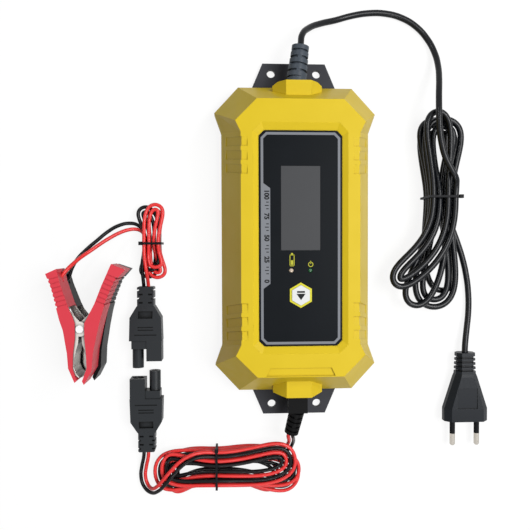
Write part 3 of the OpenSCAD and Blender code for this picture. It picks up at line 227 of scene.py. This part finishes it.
slotFinish = {
    "case_yellow": yellowAbs, "case_grey": greyAbs, "gasket_rubber": gasketRubber,
    "screw_steel": screwSteel, "panel_black": panelBlack, "line_grey": printGrey,
    "window_grey": windowGrey, "lcd_glass": lcdGlass, "circuit_green": circuitGreen,
    "button_white": buttonWhite, "ring_yellow": ringYellow, "mark_black": markBlack,
    "part_black": partBlack, "light_pale": lightPale, "light_green": lightGreen,
    "cable_pale": cablePale, "ferrite": ferriteGrey, "winding": copperWire,
    "capacitor_blue": canBlue, "heatsink_grey": heatsinkAlu, "relief_grey": reliefGrey,
    "relief_black": reliefBlack, "cord_black": cordBlack, "wire_red": wireRed,
    "wire_black": wireBlack, "plug_black": plugBlack, "pin_metal": pinMetal,
    "connector_grey": connectorGrey, "contact_metal": contactMetal, "clamp_red": clampRed,
    "clamp_black": clampBlack, "jaw_steel": jawSteel,
}
for node in nodes.values():
    for slot in node.material_slots:
        key = slot.material.name.split(".")[0] if slot.material else ""
        if key in slotFinish:
            slot.material = slotFinish[key]
        else:
            print("no finish for", node.name, key)


for tint in ("red", "black"):
    nodes[tint + "_rivet"].material_slots[0].material = rivetZinc


# Softened edges: a merged copy of a CAD piece with its chosen long edges rounded

mergeGap = 0.002  # mm, corners nearer than this are one
flatAngle = 0.5  # degrees, faces nearer to flat than this are one
edgeAngle = 12  # degrees, edges sharper than this may be rounded


def pick(piece):
    bpy.ops.object.select_all(action="DESELECT")
    piece.select_set(True)
    bpy.context.view_layer.objects.active = piece


# Sets a bevel weight on sharp outward edges that are long enough and in reach
def weighEdges(piece, shortest, reach):
    mesh = bmesh.new()
    mesh.from_mesh(piece.data)
    weight = mesh.edges.layers.float.new("bevel_weight_edge")
    for edge in mesh.edges:
        middle = (edge.verts[0].co + edge.verts[1].co) / 2 / mm
        if (len(edge.link_faces) == 2 and edge.is_convex
                and edge.calc_face_angle(0) > radians(edgeAngle)
                and edge.calc_length() > shortest * mm and reach(middle)):
            edge[weight] = 1.0
    mesh.to_mesh(piece.data)
    mesh.free()


# Gives every face wider than the limit in mm its own flat normal
def flattenWide(mesh, limit):
    normals = [corner.vector.copy() for corner in mesh.corner_normals]
    for face in mesh.polygons:
        longest = max((mesh.vertices[a].co - mesh.vertices[b].co).length
                      for a, b in face.edge_keys)
        if face.area / longest > limit * mm:
            for corner in face.loop_indices:
                normals[corner] = face.normal.copy()
    mesh.normals_split_custom_set(normals)


# Radius and shortest edge are in mm, and reach says which places are rounded
def soften(nodeName, body, slot, radius, shortest, reach):
    source = nodes[nodeName]
    piece = bpy.data.objects.new(nodeName + "_soft", source.data.copy())
    scene.collection.objects.link(piece)
    piece.data.materials.clear()
    piece.data.materials.append(slotFinish[slot])
    pick(piece)
    bpy.ops.object.mode_set(mode="EDIT")
    bpy.ops.mesh.select_all(action="SELECT")
    bpy.ops.mesh.remove_doubles(threshold=mergeGap * mm)
    bpy.ops.mesh.dissolve_limited(angle_limit=radians(flatAngle))
    bpy.ops.object.mode_set(mode="OBJECT")
    weighEdges(piece, shortest, reach)
    bevel = piece.modifiers.new("edge", "BEVEL")
    bevel.limit_method = "WEIGHT"
    bevel.width = radius * mm
    bevel.segments = 3
    bevel.use_clamp_overlap = True
    bpy.ops.object.modifier_apply(modifier="edge")
    bpy.ops.object.shade_smooth_by_angle(angle=radians(35))
    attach(piece, body)
    weighted = piece.modifiers.new("weighted", "WEIGHTED_NORMAL")
    weighted.weight = 100
    weighted.keep_sharp = True
    bpy.ops.object.modifier_apply(modifier="weighted")
    flattenWide(piece.data, 1.2)
    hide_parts(nodeName)
    return piece


# The shell's long outer edges, clear of the grip grooves, the pocket and the lip
def shellReach(p):
    outside = abs(p.x) > 36 or abs(p.y) > 90
    return p.z > 10 and outside


soften("front_shell", "charger", "case_yellow", 1.4, 7, shellReach)
soften("back_cover", "charger", "case_grey", 0.5, 12, lambda p: p.z < 4.5)
softPlug = soften("plug_body", "charger", "plug_black", 1.2, 6,
                  lambda p: p.y < -100 or p.z > 12)


# The others keep their own mesh and are rounded by live modifiers
def roundEdges(piece, radius, segments=2):
    weld = piece.modifiers.new("weld", "WELD")
    weld.merge_threshold = mergeGap * mm
    flat = piece.modifiers.new("flat", "DECIMATE")
    flat.decimate_type = "DISSOLVE"
    flat.angle_limit = radians(flatAngle)
    bevel = piece.modifiers.new("edge", "BEVEL")
    bevel.limit_method = "ANGLE"
    bevel.angle_limit = radians(30)
    bevel.width = radius * mm
    bevel.segments = segments


for name in ("charger_connector", "clamp_connector"):
    roundEdges(nodes[name], 0.5)
for tint in ("red", "black"):
    for part in ("fixed", "moving"):
        roundEdges(nodes[tint + "_" + part + "_grip"], 0.6, 3)
        roundEdges(nodes[tint + "_" + part + "_jaw"], 0.2)
print("edges softened")


# Solid cores that show dark in the windows of the connectors' boots, in mm
bootCore = {"x": -109.1, "z": 5.0, "width": 9.2, "length": 11.8, "thick": 9.2}
bootCores = {}
for body, y in (("charger", -148.2), ("clamp_lead", -40.9)):
    bpy.ops.mesh.primitive_cube_add(size=1, location=mmPoint(bootCore["x"], y, bootCore["z"]))
    core = bpy.context.object
    core.name = body + "_boot_core"
    core.scale = [bootCore[side] * mm for side in ("width", "length", "thick")]
    pick(core)
    bpy.ops.object.transform_apply(location=True, rotation=True, scale=True)
    core.data.materials.append(reliefBlack)
    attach(core, body)
    bootCores[body] = core
print("boots filled")


# Signs and numbers printed on the panel

printLevel = 48.53  # mm, the height of the printed face


def finishPrint(piece, name, finish):
    piece.name = name
    pick(piece)
    bpy.ops.object.transform_apply(location=True, rotation=True, scale=True)
    piece.data.materials.clear()
    piece.data.materials.append(finish)
    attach(piece, "charger")


# A flat bar lying on the panel, by its middle and size in mm
def addBar(name, x, y, width, length, finish, turn=0.0):
    bpy.ops.mesh.primitive_plane_add(size=1, location=mmPoint(x, y, printLevel),
                                     rotation=(0, 0, radians(turn)))
    bpy.context.object.scale = (width * mm, length * mm, 1)
    finishPrint(bpy.context.object, name, finish)


# The scale's middle line, its spacing and its sizes, in mm
scale = {"x": -23.1, "top": 29.5, "step": 14.5, "digits": ("100", "75", "50", "25", "0"),
         "size": 4.4, "bolder": 0.2, "numberIn": 1.2, "tickOut": 1.6, "tickStep": 2.2,
         "tickLengths": (1.7, 2.6, 1.7), "tickWidth": 0.6}
for k, digits in enumerate(scale["digits"]):
    y = scale["top"] - k * scale["step"]
    bpy.ops.object.text_add(location=mmPoint(scale["x"] - scale["numberIn"], y, printLevel),
                            rotation=(0, 0, -pi / 2))
    words = bpy.context.object
    words.data.body = digits
    words.data.size = scale["size"] * mm
    words.data.align_x = "CENTER"
    words.data.offset = scale["bolder"] * mm
    pick(words)
    bpy.ops.object.convert(target="MESH")
    finishPrint(bpy.context.object, "scale_number_" + digits, markBlack)
    if digits != scale["digits"][-1]:
        for m, tickLength in enumerate(scale["tickLengths"], 1):
            addBar("scale_tick_%d%d" % (k, m), scale["x"] + scale["tickOut"] - tickLength / 2,
                   y - scale["step"] / 2 - (m - 2) * scale["tickStep"], tickLength,
                   scale["tickWidth"], markBlack)
# Battery outline beside the left light, ring with a bar beside the right one
signBars = {  # x, y, width and length in mm
    "sign_battery_left": (-7.3, -14.6, 0.5, 7.6), "sign_battery_right": (-4.5, -14.6, 0.5, 7.6),
    "sign_battery_top": (-5.9, -10.9, 3.3, 0.5), "sign_battery_foot": (-5.9, -18.2, 3.3, 0.5),
    "sign_battery_pole": (-5.9, -10.1, 1.4, 1.0), "sign_battery_fill": (-5.9, -16.0, 1.6, 3.0),
    "sign_power_bar": (6.7, -15.9, 0.55, 2.0),
}
for name, (x, y, width, length) in signBars.items():
    addBar(name, x, y, width, length, markLime)
powerRing = {"x": 6.7, "y": -17.3, "radius": 1.75, "line": 0.5}  # mm
bpy.ops.mesh.primitive_circle_add(vertices=32, radius=powerRing["radius"] * mm, fill_type="NGON",
                                  location=mmPoint(powerRing["x"], powerRing["y"], printLevel))
ring = bpy.context.object
bpy.ops.object.mode_set(mode="EDIT")
bpy.ops.mesh.select_all(action="SELECT")
bpy.ops.mesh.inset(thickness=powerRing["line"] * mm)
bpy.ops.mesh.delete(type="FACE")
bpy.ops.object.mode_set(mode="OBJECT")
finishPrint(ring, "sign_power_ring", markLime)
print("panel printed")


# Clamp springs: round wire wound about the rivet, with a leg to each arm

# Each rivet's place in mm, and how far the clamp is turned in degrees
clampPlace = {"red": ((-148.9, -60.5, 31.0), 0.0), "black": ((-148.5, -62.2, 10.2), 3.0)}
springShape = {"wire": 1.5, "radius": 3.15, "step": 1.95, "turns": 4.35, "start": 207,
               "leg": (9.9, 12.5), "rings": 80, "bendReach": 2.5}  # mm and degrees


# Cords: each hank's sizes are in mm; low and high are the turn in degrees, the reach and the
# swell of every layer's two ends; feed and tail are the free ends

def smoothStep(t):
    c = min(1.0, max(0.0, t))
    return c * c * (3 - 2 * c)


# A hank's middle line in mm: loops wound round a waist, layer under layer
def hankPoints(hank, shift=0.0, lift=0.0, ends=None):
    perLoop = 48
    low, high = ends or (hank["low"], hank["high"])
    loops, layers, width = hank["loops"], hank["layers"], hank["width"]
    climb = 0.16  # turns that a change of layer takes
    saddle = 1.3  # mm that the strands rise where they cross at the waist
    probe = 0.002  # turns to each side, for the strand's direction

    def layerOf(u):
        return sum(smoothStep((u - k * loops / layers) / climb + 0.5) for k in range(1, layers))

    def base(u, end):
        s = sin(2 * pi * u)
        x, y = cos(2 * pi * u) * (width + end[2] * s * s), -end[1] * s
        f = radians(end[0] * smoothStep(abs(s)))
        return Vector((x * cos(f) - y * sin(f), x * sin(f) + y * cos(f)))

    points = []
    run = loops / layers
    for i in range(loops * perLoop + 1):
        u = min(i / perLoop, loops - 0.000001)
        isLow = u % 1 < 0.5
        layer = round(layerOf(u // 1 + (0.25 if isLow else 0.75)))
        end = (low if isLow else high)[layer]
        t = (base(u + probe, end) - base(u - probe, end)).normalized()
        m = u % (2 * run)
        inward = ((m if m <= run else 2 * run - m) + shift) * hank["pitch"]
        q = base(u, end) + inward * Vector((t.y, -t.x))
        points.append(Vector((q.x, q.y, hank["thick"] / 2 + lift
                              + (layers - 1 - layerOf(u)) * hank["rise"]
                              + saddle * (1 - smoothStep(2.5 * abs(sin(2 * pi * u)))))))
    return points


# The route moved level sideways
def shifted(route, by):
    out = []
    for i, p in enumerate(route):
        t = (route[min(i + 1, len(route) - 1)] - route[max(i - 1, 0)]).normalized()
        out.append(p + by * t.cross(Vector((0, 0, 1))).normalized())
    return out


def vectors(rows):
    return [Vector(row) for row in rows]


def addCord(name, route, thick, finish):
    curve = bpy.data.curves.new(name, "CURVE")
    curve.dimensions = "3D"
    curve.resolution_u = 4
    curve.bevel_depth = thick / 2 * mm
    curve.bevel_resolution = 4
    curve.use_fill_caps = True
    line = curve.splines.new("BEZIER")
    line.bezier_points.add(len(route) - 1)
    for knot, point in zip(line.bezier_points, route):
        knot.handle_left_type = knot.handle_right_type = "AUTO"
        knot.co = point * mm
    curve.materials.append(finish)
    piece = bpy.data.objects.new(name, curve)
    scene.collection.objects.link(piece)
    return piece


def routeLength(route):
    return sum((b - a).length for a, b in zip(route, route[1:])) * mm


for tint, (place, turn) in clampPlace.items():
    turns, step, rings = (springShape[key] for key in ("turns", "step", "rings"))
    coil = []
    for i in range(rings + 1):
        a = radians(springShape["start"] + 360 * turns * i / rings)
        coil.append(Vector((springShape["radius"] * cos(a), springShape["radius"] * sin(a),
                            turns * step * (i / rings - 0.5))))
    legX, legY = springShape["leg"]
    route = [Vector((-legX, legY, coil[0].z))] + coil + [Vector((legX, legY, coil[-1].z))]
    turned = Matrix.Translation(Vector(place)) @ Matrix.Rotation(radians(turn), 4, "Z")
    spring = addCord(tint + "_spring_wire", [turned @ p for p in route], springShape["wire"],
                     screwSteel)
    pick(spring)
    bpy.ops.object.convert(target="MESH")
    pivot, side = Vector(place), Vector((springShape["bendReach"], 0, 0))
    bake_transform(spring)
    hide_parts(tint + "_spring")
print("springs wound")


mainsHank = {
    "thick": 4.6, "loops": 6, "layers": 4, "pitch": 5.5, "rise": 5.15, "width": 9.625,
    "low": [(-27, 74, 14), (-13, 86, 23), (-2, 83, 27), (6, 74, 22)],
    "high": [(3, 66, 17), (-3, 59, 22), (2, 62, 24), (-2, 57, 22)],
    "place": (107.4, 31, 0),
    "feed": [(2.87, 136.9, 25), (4.2, 145, 22), (10, 152.4, 15.4), (19.4, 158.2, 8.6),
             (31, 162.5, 4), (43, 166.5, 2.3), (56, 168.8, 2.3), (69, 168.8, 2.3),
             (81.5, 165.8, 2.3), (92.5, 159.5, 2.3), (101, 150.5, 2.3), (106, 139.5, 4.5),
             (107, 128, 9.5), (105.5, 116.5, 16), (103.5, 105, 21.5), (102.6, 93, 24.4),
             (102.8, 81, 24.8), (104.4, 69.5, 24.6), (107.6, 58.5, 24.4), (112.6, 49.4, 24),
             (116.2, 43.6, 22.2), (117.1, 40.2, 20.2)],
    "tail": [(117.3, 21.6, 2.9), (120.4, 10, 2.3), (124.6, -1.5, 2.3), (128.6, -13.5, 2.3),
             (131.8, -27, 2.3), (133.5, -41, 2.4), (133.3, -55, 3.2), (131.4, -67.5, 5),
             (129.6, -78.5, 6.7), (129.3, -84, 6.85), (129.3, -90.6, 6.85)],
}
loops = [q + Vector(mainsHank["place"]) for q in hankPoints(mainsHank)]
mainsRoute = vectors(mainsHank["feed"]) + loops + vectors(mainsHank["tail"])
mainsCord = addCord("mains_lead", mainsRoute, mainsHank["thick"], cordBlack)
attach(mainsCord, "charger")
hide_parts("mains_cord", "mains_hank")
print("mains lead", round(routeLength(mainsRoute), 4))

batteryHank = {
    "thick": 2.7, "loops": 6, "layers": 4, "pitch": 6.6, "rise": 3.2, "width": 13.86,
    "apart": 1.65,
    "low": [(7, 60, 17), (-1, 66, 20), (-7, 63, 19), (-13, 52, 18)],
    "high": [(-6, 45, 17), (3, 47, 17), (9, 46, 18), (12, 41, 18)],
    "place": (-58, -169.6),
    "feed": [(-2.5, -133.3, 22), (-3.91, -139.9, 20.3), (-4.34, -141.9, 19.8),
             (-3.4, -145.8, 14.5), (-3, -151.5, 6.5), (-5.4, -156.8, 1.9), (-11.5, -158.2, 1.35),
             (-19, -157.4, 1.35), (-27, -156.6, 1.35), (-35, -156.4, 1.35), (-43, -156.8, 1.35),
             (-50, -157.3, 1.9)],
    "tail": [(-67.5, -156.8, 13.4), (-76, -158, 15), (-83.5, -162.2, 15.8), (-90, -168.6, 16.2),
             (-96, -175.6, 15.8), (-101.4, -181.6, 13), (-106.4, -184.2, 8), (-111, -181.5, 3.6),
             (-112.8, -175.5, 2.6), (-112, -168, 3.2), (-110.4, -161, 5), (-109.8, -155.4, 6),
             (-109.8, -149, 6)],
}
for name, side, shift, finish, slot in (
        ("battery_wire_red", -1, 0.0, wireRed, "wire_red"),
        ("battery_wire_black", 1, 0.5, wireBlack, "wire_black")):
    px, py = batteryHank["place"]
    loops = [Vector((px - q.y, q.x + py, q.z)) for q in hankPoints(batteryHank, shift)]
    feed, tail = (shifted(vectors(batteryHank[end])[::-1], side * batteryHank["apart"])[::-1]
                  for end in ("feed", "tail"))
    route = feed + loops[::-1] + tail
    wire = addCord(name, route, batteryHank["thick"], finish)
    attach(wire, "charger")
    print(name, round(routeLength(route), 4))
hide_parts("dc_wire_red", "dc_hank_red")
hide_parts("dc_wire_black", "dc_hank_black")

clampHank = {
    "thick": 2.7, "loops": 3, "layers": 2, "pitch": 3.498, "rise": 6.4, "width": 5.94,
    "redEnds": ([(-6, 29, 8), (-3, 27, 8)], [(8, 20, 8), (9, 26, 8)]),
    "blackEnds": ([(13, 28, 8), (9, 26, 8)], [(-9, 22, 8), (-12, 26, 8)]),
    "place": (-103.6, -2.5),
    "redIn": [(-107.45, -40.3, 6), (-107.45, -33.8, 6), (-107.45, -31, 7), (-107.45, -27.6, 10),
              (-107.8, -22.5, 13.5), (-108.5, -17, 13.9), (-109.2, -11.5, 13.2)],
    "redOut": [(-110.2, 3.6, 5.2), (-112.2, 6.4, 4.7), (-116, 7.9, 4.8), (-121, 7.6, 6.2),
               (-127, 5.4, 9), (-134.2, 1.2, 12.5), (-141, -3.6, 15.4), (-147, -8.2, 17.8),
               (-151.6, -11.9, 21.6), (-155.6, -16, 26), (-159.2, -20.2, 29.6),
               (-161.9, -23.7, 31), (-163.7, -26.5, 31), (-164.4, -29.1, 31),
               (-164.1, -31.9, 31), (-162.9, -36.1, 31)],
    "blackIn": [(-110.75, -40.3, 6), (-110.75, -34, 6), (-110.9, -28.6, 8), (-111.1, -23, 10.3),
                (-111, -17, 10.9), (-110.2, -11, 10.5)],
    "blackOut": [(-111.4, 6.6, 1.9), (-115.6, 11.2, 1.8), (-121.6, 12.4, 2.6), (-128.6, 10.8, 4),
                 (-136, 6.6, 5), (-144.2, -0.4, 6.8), (-151.4, -6.8, 8.2), (-157.6, -13.6, 9.4),
                 (-161.5, -20.7, 10.2), (-163.4, -26.3, 10.2), (-165, -29.2, 10.2),
                 (-165.6, -31.6, 10.2), (-165.2, -34.4, 10.2), (-163.8, -38.6, 10.2)],
}
clampWires = []
for name, tint, lift, finish in (
        ("clamp_wire_red", "red", 3.2, wireRed), ("clamp_wire_black", "black", 0.0, wireBlack)):
    px, py = clampHank["place"]
    loops = [Vector((px - q.x, py - q.y, q.z))
             for q in hankPoints(clampHank, 0, lift, clampHank[tint + "Ends"])]
    route = vectors(clampHank[tint + "In"]) + loops + vectors(clampHank[tint + "Out"])
    wire = addCord(name, route, clampHank["thick"], finish)
    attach(wire, "clamp_lead")
    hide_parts("lead_wire_" + tint, "lead_hank_" + tint)
    clampWires.append((wire, route))
    print(name, round(routeLength(route), 4))

clampParts = ("fixed_grip", "fixed_jaw", "moving_grip", "moving_jaw", "rivet")
for (wire, route), tint, carried in zip(clampWires, ("red", "black"),
                                        ("clamp_connector", "clamp_contacts")):
    ends = [nodes[carried]] + [nodes[tint + "_" + part] for part in clampParts]
    ends.append(scene.objects[tint + "_spring_wire"])
    if tint == "red":
        ends.append(bootCores["clamp_lead"])
print("cords laid")


# Floor, backdrop and lamps

# One for rays from the camera, off a mirror or through a clear piece, and nought for others
def seenRays(owner):
    rays = addNode(owner, "LightPath")
    seen = addNode(owner, "Math", {"operation": "MAXIMUM"},
                   {0: rays.outputs["Is Camera Ray"], 1: rays.outputs["Is Glossy Ray"]})
    seenToo = addNode(owner, "Math", {"operation": "MAXIMUM"},
                      {0: seen.outputs[0], 1: rays.outputs["Is Transmission Ray"]})
    return seenToo.outputs[0]


backdrop = {"size": 4.0, "drop": 0.0002, "glow": 0.88, "fill": 0.22}  # m, m, and strengths
bpy.ops.mesh.primitive_plane_add(size=backdrop["size"], location=(0, 0, -backdrop["drop"]))
floor = bpy.context.object
floor.name = "floor"
floorPaper = newMaterial("white_paper")
glow = addNode(floorPaper, "Math", {"operation": "MULTIPLY", 1: backdrop["glow"]},
               {0: seenRays(floorPaper)})
paper = addNode(floorPaper, "BsdfPrincipled",
                {"Base Color": colour("#646464"), "Roughness": 0.9, "Specular IOR Level": 0.0,
                 "Emission Color": (1, 1, 1, 1)},
                {"Emission Strength": glow.outputs[0]})
addNode(floorPaper, "OutputMaterial", {}, {"Surface": paper.outputs[0]})
floor.data.materials.append(floorPaper)

world = scene.world or bpy.data.worlds.new("studio")
scene.world = world
world.use_nodes = True
world.node_tree.nodes.clear()
dim = addNode(world, "Background", {"Color": (1, 1, 1, 1), "Strength": backdrop["fill"]})
bright = addNode(world, "Background", {"Color": (1, 1, 1, 1), "Strength": 1.0})
mixed = addNode(world, "MixShader", {},
                {0: seenRays(world), 1: dim.outputs[0], 2: bright.outputs[0]})
addNode(world, "OutputWorld", {}, {"Surface": mixed.outputs[0]})

lamps = {  # place mm, aim mm, size mm, watts
    "overhead": ((520, 40, 1150), (0, 0, 0), 650, 13.0),
    "glintLeft": ((-500, 420, 700), (-40, 0, 0), 90, 0.9),
    "glintRight": ((420, 300, 650), (60, 0, 0), 90, 0.9),
    "glintFoot": ((60, -560, 600), (0, -60, 0), 90, 0.7),
}
for name, (place, aim, size, watts) in lamps.items():
    bpy.ops.object.light_add(type="AREA", location=mmPoint(*place))
    lamp = bpy.context.object
    lamp.name = name
    lamp.data.size = size * mm
    lamp.data.energy = watts
    toAim = mmPoint(*aim) - mmPoint(*place)
    lamp.rotation_euler = toAim.to_track_quat("-Z", "Y").to_euler()
print("studio set")

bpy.context.view_layer.update()
